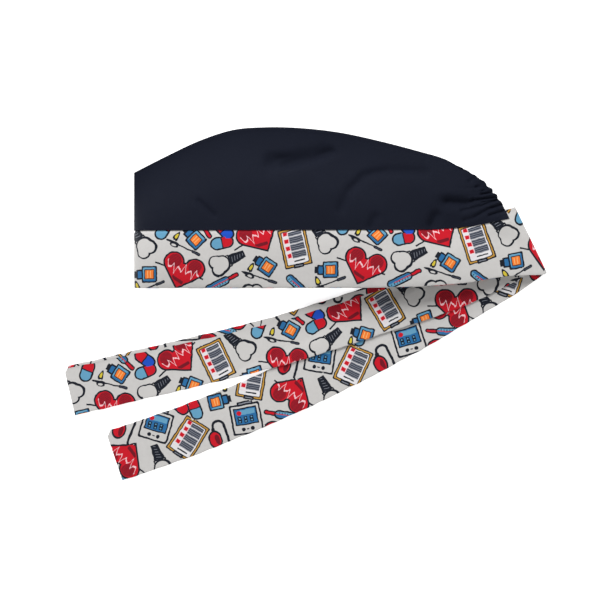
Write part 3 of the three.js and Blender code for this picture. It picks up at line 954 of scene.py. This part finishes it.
def make_crown():
    place = stations_along(CROWN_ROWS)
    share = np.linspace(0, 1, CROWN_COLUMNS + 1)[None, :]
    outer, inner = crown_shell(place, share)
    rows, columns = outer.shape[:2]
    middle = len(place) - 1
    index = np.arange(rows * columns).reshape(rows, columns)
    # The two sides share their points along the seam.
    index[middle + 1 :, -1] = index[:middle, -1][::-1]
    inner_index = index + rows * columns
    # On the cloth the two sides lie side by side, the lower one mirrored.
    plan = outer[..., :2].copy()
    plan[:middle, :, 0] *= -1
    along = np.concatenate([place[:0:-1], place])
    across = np.broadcast_to(share, (rows, columns))
    faces, cloth, baked = [], [], []

    def add_sheet(row, part, source, flip):
        u = SHEET_LEFT + SHEET_SIZE * along[part][:, None] * np.ones(columns)
        v = (row + SHEET_MARGIN + SHEET_SIZE * across[part]) / 4
        faces.append(grid_faces(source[part], flip))
        cloth.append(grid_corners(plan[part], flip))
        baked.append(grid_corners(np.stack([u, v], axis=-1), flip))

    def add_wall(outside, inside, left):
        """The cloth's thickness along an open edge."""
        steps = np.linspace(0.01, 0.99, len(outside))
        sides = [np.stack([np.full(len(steps), u), steps], axis=-1) for u in (left, left + BAR_WIDTH)]
        faces.append(grid_faces(np.stack([outside, inside]), True))
        cloth.append(grid_corners(np.stack(sides) * BAR_CLOTH, True))
        baked.append(grid_corners(np.stack(sides), True))

    lower_part, upper_part = slice(0, middle + 1), slice(middle, rows)
    add_sheet(0, lower_part, index, False)
    add_sheet(1, upper_part, index, False)
    add_sheet(2, lower_part, inner_index, True)
    add_sheet(3, upper_part, inner_index, True)
    add_wall(index[:, 0], inner_index[:, 0], EDGE_BARS[0])
    add_wall(index[0, ::-1], inner_index[0, ::-1], EDGE_BARS[1])
    add_wall(index[-1], inner_index[-1], EDGE_BARS[2])
    points = np.concatenate([outer.reshape(-1, 3), inner.reshape(-1, 3)])
    used, compact = np.unique(np.concatenate(faces), return_inverse=True)
    layers = {"Cloth": np.concatenate(cloth), "OFBake": np.concatenate(baked)}
    quads = compact.reshape(-1, 4).tolist()
    return add_piece("crown_cloth", points[used], quads, layers, navy, "crown")


# ---- Strips: the band and the ties ----

EDGE_STEPS = 3  # points round each rolled edge
ROLL_SHARES = np.arange(1, EDGE_STEPS + 1) / (EDGE_STEPS + 1)
ROLL_LENGTH = np.pi * STRIP_WALL / 2  # of cloth round a rolled edge
HEM_COLUMNS = 5  # of the right tie's columns: the turned-over top edge
HEM_SHARES = (0.2, 0.035)  # the hem's share of the width, at the fold and at the free end
HEM_SHIFT = 115.0  # how far across the chart the hem's print lies from its neighbour's
HEM_RISE = 0.3

# A strip's baked square: its two faces side by side, cut into blocks stacked up, then a bar for each end.
FACE_LEFT = 0.004
FACE_PITCH = 0.485
FACE_FILL = 0.97
BLOCK_MARGIN = 0.02
BLOCK_FILL = 0.96
END_BARS = (0.976, 0.988)
END_RADIUS = 0.004


def rolled_edge(centre, half, column, inward, start_side):
    """Points round the rolled edge at a column, from one face to the other."""
    out = unit(centre[:, column] - centre[:, inward])
    out = out * np.linalg.norm(half[:, column], axis=-1, keepdims=True)
    start = start_side * half[:, column]
    arcs = [centre[:, column] + start * math.cos(t) + out * math.sin(t) for t in np.pi * ROLL_SHARES]
    return np.stack(arcs, axis=1)


def ring_corners(chart, hem):
    """The chart's places at the face corners of a strip, whose cloth wraps round the folded edge."""
    along, across = chart[..., 0], chart[..., 1]
    roll = ROLL_LENGTH * ROLL_SHARES
    folded, top = across[:, -1:], across[:, :1]
    far = 2 * folded + ROLL_LENGTH - across[:, ::-1]
    far_top = 2 * folded + ROLL_LENGTH - top
    ring_across = [across, folded + roll, far, far_top + roll, far_top + ROLL_LENGTH]
    folded_along = np.repeat(along[:, -1:], EDGE_STEPS, 1)
    top_along = np.repeat(along[:, :1], EDGE_STEPS + 1, 1)
    ring_along = [along, folded_along, along[:, ::-1], top_along]
    ring = np.stack([np.concatenate(ring_along, axis=1), np.concatenate(ring_across, axis=1)], axis=-1)
    corners = grid_corners(ring, True)

    # The rolled top edge carries on from the face that shows, not from the far one.
    across_corners = corners.reshape(len(chart) - 1, -1, 4, 2)[..., 1]
    rolled_top = across_corners[:, -EDGE_STEPS - 1 :]
    back = (top - far_top - ROLL_LENGTH)[:, 0]
    rolled_top += np.stack([back[:-1], back[:-1], back[1:], back[1:]], axis=-1)[:, None]
    if hem:
        rolled_top += HEM_SHIFT
        across_corners[:, :hem] += HEM_SHIFT
    return corners


def strip_bake(rows, columns, blocks):
    """Places in the baked square for the face corners of a strip."""
    step = np.arange(rows - 1)
    block = step * blocks // (rows - 1)
    first = np.array([np.argmax(block == b) for b in range(blocks)])
    count = np.array([np.sum(block == b) for b in range(blocks)])
    start_u = (step - first[block]) / count[block]
    end_u = (step + 1 - first[block]) / count[block]
    half_ring = columns + EDGE_STEPS
    side, ring_step = np.divmod(np.arange(2 * half_ring), half_ring)
    start_v, end_v = ring_step / half_ring, (ring_step + 1) / half_ring

    def square(u, v):
        bake_u = FACE_LEFT + FACE_PITCH * (side[None, :] + FACE_FILL * u[:, None])
        bake_v = (block[:, None] + BLOCK_MARGIN + BLOCK_FILL * v[None, :]) / blocks
        return np.stack([bake_u, bake_v], axis=-1)

    corners = ((start_u, start_v), (start_u, end_v), (end_u, end_v), (end_u, start_v))
    return np.stack([square(u, v) for u, v in corners], axis=-2).reshape(-1, 2)


def end_polygons(ring, columns):
    """Faces across an end of a strip: flat quads between its two faces, then both rolled edges."""
    opposite = columns + EDGE_STEPS + np.arange(columns)[::-1]
    quads = [(ring[k + 1], ring[opposite[k + 1]], ring[opposite[k]], ring[k]) for k in range(columns - 1)]
    folded = tuple(ring[columns - 1 : columns + EDGE_STEPS + 1][::-1])
    return [*quads, folded, (ring[0], *ring[opposite[0] :][::-1])]


def end_bake(left, number, polygon_count, corner_count):
    """A small polygon of its own in a bar of the baked square, for one face of an end."""
    height = 1 / (polygon_count + 1)
    angle = np.linspace(0, 2 * np.pi, corner_count, endpoint=False)
    u = left + END_RADIUS * (1 + np.cos(angle))
    v = height * (number + 0.5 + 0.4 * np.sin(angle))
    return np.stack([u, v], axis=-1)


def strip_piece(name, outer, inner, chart, blocks, node, hem=0):
    """A doubled strip with rolled edges. Columns run from its top edge to its folded edge.

    hem counts the columns at the top edge where the cloth is turned over and shows another part of the print.
    """
    rows, columns = outer.shape[:2]
    centre, half = (outer + inner) / 2, (outer - inner) / 2
    folded, top = rolled_edge(centre, half, -1, -2, 1), rolled_edge(centre, half, 0, 1, -1)
    ring = np.concatenate([outer, folded, inner[:, ::-1], top], axis=1)
    index = np.arange(rows * ring.shape[1]).reshape(rows, -1)
    corners = ring_corners(chart, hem)
    faces = grid_faces(np.concatenate([index, index[:, :1]], axis=1), True).tolist()
    cloth, motif = [corners.reshape(-1, 2)], [motif_places(corners).reshape(-1, 2)]
    baked = [strip_bake(rows, columns, blocks)]
    for end, left, direction in ((0, END_BARS[0], -1), (-1, END_BARS[1], 1)):
        polygons = end_polygons(index[end], columns)
        for number, polygon in enumerate(polygons):
            faces.append([int(v) for v in polygon[::direction]])
            baked.append(end_bake(left, number, len(polygons), len(polygon)))
            cloth.append(baked[-1] * BAR_CLOTH)
            motif.append(np.full((len(polygon), 2), BLANK))
    layers = {"Cloth": np.concatenate(cloth), "Motif": np.concatenate(motif), "OFBake": np.concatenate(baked)}
    return add_piece(name, ring.reshape(-1, 3), faces, layers, printed, node)


BAND_ROWS = 250  # behind the front rows
BAND_COLUMNS = 44
BAND_BLOCKS = 5
BEND_TURNS = np.pi * np.arange(17)[:, None] / 16
FOOT_STEPS = 4


def band_chart(x, y, side_sign):
    """Place along and across the cloth for plan points of the band."""
    top = band_top_line
    lean = np.arctan(np.gradient(top[:, 1], top[:, 0]))
    arc = np.concatenate([[0], np.cumsum(np.hypot(*np.diff(top, axis=0).T))])
    # The foot of each point, square on the band's top edge, is found in a few steps.
    foot = x
    for _ in range(FOOT_STEPS):
        angle = np.interp(foot, top[:, 0], lean)
        down = (curve_height(top, foot) - y) / np.cos(angle)
        foot = x - down * np.sin(angle)
    along = np.interp(foot, top[:, 0], arc) + np.maximum(0, foot - top[-1, 0])
    turn_up = ease(along, *BAND_BACK)
    across = down + BAND_LAP_ROW + BAND_LEAN * side_sign * along - BACK_DROP * turn_up
    return np.stack([side_sign * (along + BACK_SHORT * turn_up), across], axis=-1)


def bend_ring(x, y, radius):
    """Points round the turned-under end, at a radius from its axis and outwards from a line in the plan."""
    reach = radius * np.sin(BEND_TURNS)
    height = BEND_RADIUS + radius * np.cos(BEND_TURNS) + 0 * x
    return np.stack([x + fold_out[0] * reach, y + fold_out[1] * reach, height], axis=-1)


def bend_chart(row, radii, sign):
    """The chart carried on from its last row round the turned-under end."""
    length = BEND_TURNS[1:] * sum(radii) / 2
    return row[None] + np.stack([sign * length, 0 * length], axis=-1)


def make_band():
    place = stations_along(BAND_ROWS)
    share = np.linspace(1, 0, BAND_COLUMNS + 1)[None, :]
    rim = spline(band_rows[:, :2], place)[:, None, :]
    top = spline(band_rows[:, 2:4], place)[:, None, :]
    x, y = mix(rim[..., 0], top[..., 0], share), mix(rim[..., 1], top[..., 1], share)
    upper = np.stack([x, y, upper_height(x, y)], axis=-1)
    lower = np.stack([x, y, lower_height(x, y)], axis=-1)
    face = np.concatenate([lower[:0:-1], upper])
    normals = -grid_normals(face)
    # The lap goes in along the normal round the front, and straight down behind it, clear of every crease.
    upright = np.sign(normals) * [0, 0, 1]
    behind = ease(face[..., 0], FRONT_X + FRONT_REACH, FRONT_X + 2 * FRONT_REACH)[..., None]
    inward = unit(mix(normals, upright, behind))
    outer = face - inward * lap_inset(face[..., 0], face[..., 1])[..., None]
    inner = outer - normals * STRIP_WALL

    # Radii of the outer and inner faces where each side turns under.
    lower_radii = (CLEARANCE / 2, CLEARANCE / 2 + STRIP_WALL)
    upper_radii = (BEND_RADIUS, BEND_RADIUS - STRIP_WALL)

    def with_bends(sheet, which):
        lower_bend = bend_ring(x[-1], y[-1], lower_radii[which])
        upper_bend = bend_ring(x[-1], y[-1], upper_radii[which])
        return np.concatenate([lower_bend[::-1], sheet[1:-1], upper_bend])

    chart = np.concatenate([band_chart(x, y, -1)[:0:-1], band_chart(x, y, 1)])
    lower_end, upper_end = bend_chart(chart[0], lower_radii, -1), bend_chart(chart[-1], upper_radii, 1)
    chart = np.concatenate([lower_end[::-1], chart, upper_end])
    return strip_piece("band_cloth", with_bends(outer, 0), with_bends(inner, 1), chart, BAND_BLOCKS, "band")


TIE_ROWS = 300
TIE_COLUMNS = 32
TIE_BLOCKS = 4
LENGTH_SAMPLES = np.linspace(0, 1, 2001)
TURN_SHARE = 0.1  # of a tie's length, in which its rows turn from the fold's line to square across
TIE_WAVES = [(34, 25, 0.8), (21, 160, 2.4), (55, 100, 4.1)]
EDGE_WAVES = [(47, 0, 0.3), (23, 0, 2.0), (13, 0, 4.4)]
WAVE_HEIGHT = 0.35
EDGE_WAVE_START = (20, 60)  # along the tie
RIPPLE_START = (4, 22)  # out from under the rim
CORNER_CLIP = 4.0  # how much the free end's upper corner is cut back
CLIP_SLOPE = 0.9


def tie_shares(place, hem):
    """Each column's share of a tie's width. The first hem columns take up the turned-over edge."""
    column = np.linspace(0, 1, TIE_COLUMNS + 1)[None, :] + 0 * place
    if not hem:
        return column
    last = hem / TIE_COLUMNS
    hem_share = mix(*HEM_SHARES, place)
    past_hem = hem_share + (column - last) / (1 - last) * (1 - hem_share)
    return np.where(column < last, column / last * hem_share, past_hem)


def make_tie(name, path, base_height, sits_high, chart_place, node, hem=0):
    """A tie from the fold to its free end. sits_high lays it at the top of its layer of the stack."""
    path = np.array(path, float)
    line = spline(path[:, :2], LENGTH_SAMPLES)
    arc = np.concatenate([[0], np.cumsum(np.linalg.norm(np.diff(line, axis=0), axis=1))])
    place = np.linspace(0, 1, TIE_ROWS + 1)[:, None]
    share = tie_shares(place, hem)
    end_width = path[-1, 2]
    clip = np.maximum(0, CORNER_CLIP - share * end_width) * CLIP_SLOPE
    distance = place * (arc[-1] - clip)
    at = np.interp(distance, arc, LENGTH_SAMPLES)
    centre = spline(path[:, :2], at)
    tangent = unit(spline(path[:, :2], np.minimum(1, at + 1e-3)) - spline(path[:, :2], at - 1e-3))
    square = np.stack([-tangent[..., 1], tangent[..., 0]], axis=-1)
    turned = ease(distance / arc[-1], 0, TURN_SHARE)[..., None]
    across = unit(mix(fold_along, square, turned))
    width = np.interp(at * (len(path) - 1), np.arange(len(path)), path[:, 2])
    uneven = WAVE_HEIGHT * soft_waves(distance, 0, EDGE_WAVES) * ease(distance, *EDGE_WAVE_START)
    offset = (share - 0.5) * width + uneven
    x = centre[..., 0] + across[..., 0] * offset
    y = centre[..., 1] + across[..., 1] * offset
    free = ease(rim_y(x) - y, *RIPPLE_START)
    bottom = base_height(x, y) + free * WAVE_HEIGHT * (1 + soft_waves(x, y, TIE_WAVES))
    if sits_high:
        bottom = bottom + STRIP_LAYER_WALL - STRIP_WALL
    top = bottom + STRIP_WALL
    if hem:
        top = top + HEM_RISE * (1 - ease(np.arange(TIE_COLUMNS + 1), hem - 0.5, hem + 0.5))
    upper, lower = np.stack([x, y, top], axis=-1), np.stack([x, y, bottom], axis=-1)
    start_along, start_across, stretch, lean = chart_place
    rest = arc[-1] - distance
    chart = np.stack([rest * stretch + start_along, start_across + share * width + rest * lean], axis=-1)
    return strip_piece(name, upper[::-1], lower[::-1], chart[::-1], TIE_BLOCKS, node, hem)


crown = make_crown()
band = make_band()
left_chart = (TIE_LEFT_START, TIE_LEFT_ROW, 1, 0)
tie_left = make_tie("tie_left_cloth", TIE_LEFT_PATH, lambda x, y: 0 * x, False, left_chart, "tie_left")
right_chart = (TIE_RIGHT_START, TIE_RIGHT_ROW, TIE_RIGHT_STRETCH, TIE_RIGHT_LEAN)
tie_right = make_tie(
    "tie_right_cloth", TIE_RIGHT_PATH, tie_right_base, True, right_chart, "tie_right", HEM_COLUMNS
)

# ---- Floor, light and camera ----

VIEW_CENTRE = (-0.0040, 0.0028)
VIEW_WIDTH = 0.456
CAMERA_HEIGHT = 2.0
CAMERA_REACH = 20
SENSOR = 36.0
FLOOR_SIZE = 4.0
FLOOR_SETTINGS = {
    "Base Color": (0.94, 0.94, 0.94, 1),
    "Emission Color": (1, 1, 1, 1),
    "Emission Strength": 0.62,
    "Roughness": 0.9,
    "Specular IOR Level": 0.1,
}
WORLD_GLOW = 0.36
# Square lights that face the middle: name, place, side and power.
LIGHTS = [("key", (-0.3, 1.3, 1.05), 0.9, 31), ("fill", (0.3, -2.0, 1.1), 1.5, 20)]


def make_floor():
    mesh = bpy.data.meshes.new("floor")
    corners = [(FLOOR_SIZE * x, FLOOR_SIZE * y, 0) for x, y in ((-1, -1), (1, -1), (1, 1), (-1, 1))]
    mesh.from_pydata(corners, [], [(0, 1, 2, 3)])
    mesh.materials.append(new_material("pale_floor", FLOOR_SETTINGS)[0])
    add_object("floor", mesh)


def make_light(name, place, side, power):
    data = bpy.data.lights.new(name, "AREA")
    data.shape = "SQUARE"
    data.size = side
    data.energy = power
    light = add_object(name, data)
    light.location = place
    light.rotation_euler = (-Vector(place)).to_track_quat("-Z", "Y").to_euler()


def make_world():
    world = bpy.data.worlds.new("studio")
    world.use_nodes = True
    background = world.node_tree.nodes["Background"]
    background.inputs["Color"].default_value = (1, 1, 1, 1)
    background.inputs["Strength"].default_value = WORLD_GLOW
    bpy.context.scene.world = world


def make_camera():
    data = bpy.data.cameras.new("camera")
    data.sensor_width = SENSOR
    data.lens = SENSOR * CAMERA_HEIGHT / VIEW_WIDTH
    data.clip_end = CAMERA_REACH
    camera = add_object("camera", data)
    camera.location = (*VIEW_CENTRE, CAMERA_HEIGHT)
    bpy.context.scene.camera = camera


make_floor()
for light_row in LIGHTS:
    make_light(*light_row)
make_world()
make_camera()
bpy.context.scene.view_settings.view_transform = "Standard"
